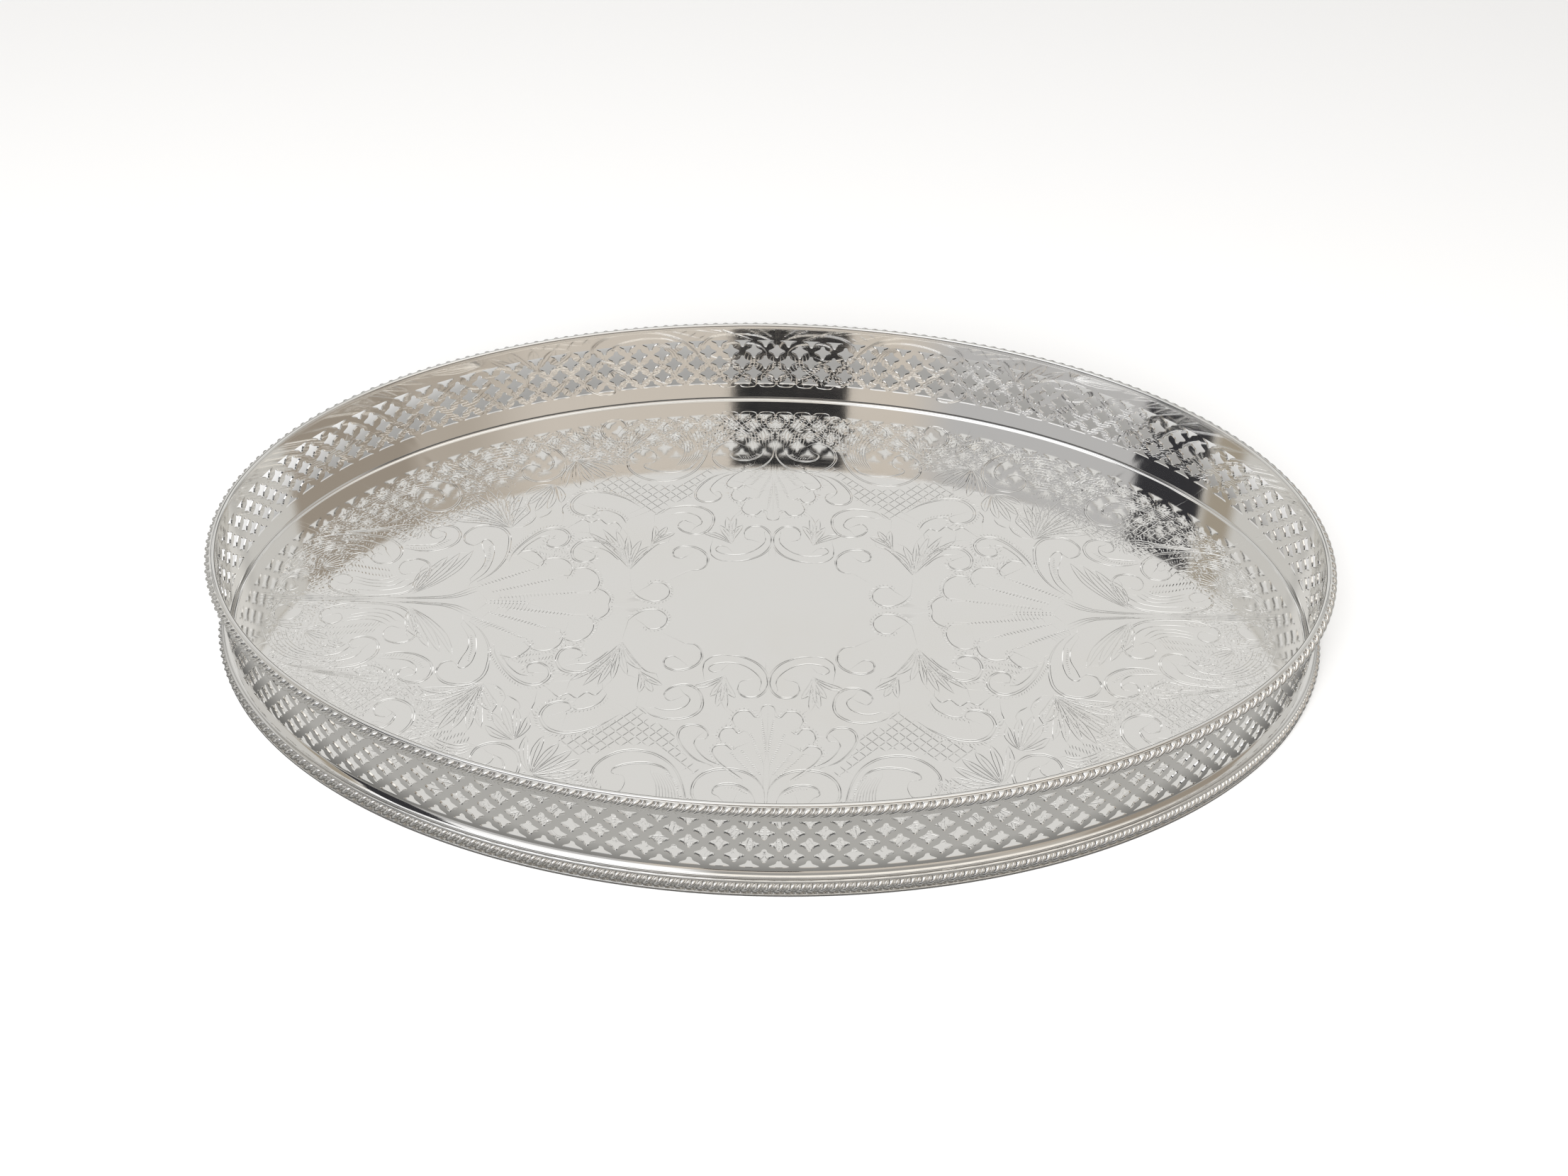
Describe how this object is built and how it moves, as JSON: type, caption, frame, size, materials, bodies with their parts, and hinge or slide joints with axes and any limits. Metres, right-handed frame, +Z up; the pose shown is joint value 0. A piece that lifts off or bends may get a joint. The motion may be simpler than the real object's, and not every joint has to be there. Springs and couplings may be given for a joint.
{
  "type": "dresser vanity tray",
  "caption": "Oval silver-plated tray with a flat chased floor inside an upright pierced gallery, edged top and bottom with rope borders, for standing bottles and jars on.",
  "frame": {"origin": "centre of the oval at the height the foot wire rests on", "axes": "+X along the oval's long axis, +Y along its short axis towards the back, +Z up out of the tray"},
  "size_m": [0.5038, 0.3358, 0.05],
  "materials": {
    "chased_floor": "polished silver plate, hand-chased scrolls, shells and trellis round a plain centre",
    "gallery_plate": "mirror-polished silver plate sheet and wire",
    "border_plate": "bright silver plate over die-struck borders, darker in the hollows",
    "foot_plate": "silver plate, dulled where it stands on the table"
  },
  "bodies": {
    "root": {"floor_sheet": "chased_floor", "solder_fillet": "gallery_plate", "gallery_front": "gallery_plate", "gallery_back": "gallery_plate", "top_cap": "gallery_plate", "top_rope": "border_plate", "base_moulding": "border_plate", "base_rope": "border_plate", "foot_wire": "foot_plate"}
  },
  "joints": []
}
